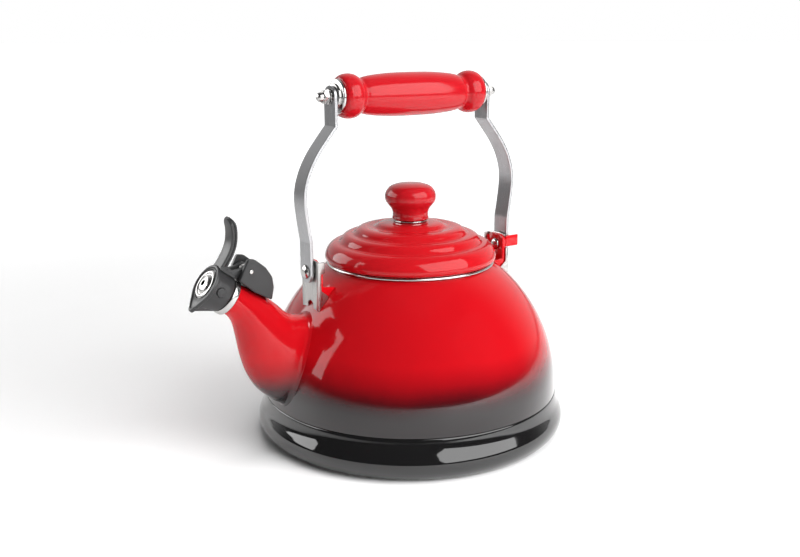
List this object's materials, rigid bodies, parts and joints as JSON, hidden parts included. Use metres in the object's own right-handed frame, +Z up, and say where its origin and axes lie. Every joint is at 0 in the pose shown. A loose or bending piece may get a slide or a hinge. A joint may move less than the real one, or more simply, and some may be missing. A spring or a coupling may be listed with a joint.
{
  "type": "stovetop whistling kettle",
  "caption": "Enamelled dome kettle with a swan-neck spout, flip-up whistle cap, stepped lift-off lid and swinging bail with a turned grip.",
  "frame": {"origin": "centre of the flat base, on the surface that the kettle stands on", "axes": "+Z up through the lid's knob; the spout points along -X; the bail stands in the XZ plane and its pivots' axis is along X"},
  "size_m": [0.2689, 0.2154, 0.2449],
  "materials": {
    "red_enamel": "glossy vitreous enamel, fading to black towards the base",
    "black_enamel": "glossy black vitreous enamel",
    "red_gloss": "glossy red moulded resin",
    "brushed_steel": "stainless steel brushed lengthwise",
    "bright_metal": "polished stainless steel",
    "black_plastic": "satin black moulded plastic"
  },
  "bodies": {
    "kettle": {"body_shell": "red_enamel", "base_pan": "black_enamel", "rim_band": "bright_metal", "spout": "red_enamel", "spout_ferrule": "bright_metal", "front_lug": "red_enamel", "rear_lug": "red_enamel", "bail_stop": "red_enamel", "front_bracket": "brushed_steel", "rear_bracket": "brushed_steel", "front_pivot_rivet": "bright_metal", "rear_pivot_rivet": "bright_metal", "front_pivot_washer": "brushed_steel", "rear_pivot_washer": "brushed_steel", "hinge_block": "black_plastic", "hinge_block_rivet": "bright_metal", "hinge_pin": "bright_metal"},
    "lid": {"lid_shell": "red_enamel", "lid_skirt": "bright_metal", "lid_knob": "red_gloss", "knob_washer": "bright_metal", "knob_screw": "brushed_steel", "knob_screw_washer": "brushed_steel"},
    "bail": {"grip": "red_gloss", "grip_rod": "brushed_steel", "front_strap": "brushed_steel", "rear_strap": "brushed_steel", "front_end_cup": "bright_metal", "rear_end_cup": "bright_metal", "front_lock_washer": "brushed_steel", "rear_lock_washer": "brushed_steel", "front_acorn_nut": "bright_metal", "rear_acorn_nut": "bright_metal"},
    "whistle": {"whistle_cap": "black_plastic", "whistle_lever": "black_plastic", "whistle_front_disc": "bright_metal", "whistle_back_disc": "brushed_steel", "left_cap_plug": "black_plastic", "right_cap_plug": "black_plastic", "hinge_spring": "brushed_steel"}
  },
  "joints": [
    {"name": "lid_lift", "type": "slide", "parent": "kettle", "child": "lid", "axis": [0, 0, 1], "range_m": [0, 0.04]},
    {"name": "bail_swing", "type": "hinge", "parent": "kettle", "child": "bail", "pos_m": [0, 0, 0.12012], "axis": [-1, 0, 0], "range_deg": [-8, 100]},
    {"name": "whistle_flip", "type": "hinge", "parent": "kettle", "child": "whistle", "pos_m": [-0.12404, 0, 0.12778], "axis": [0, 1, 0], "range_deg": [0, 60], "stiffness_Nm_per_rad": 0.02, "springref_deg": -28.65}
  ]
}
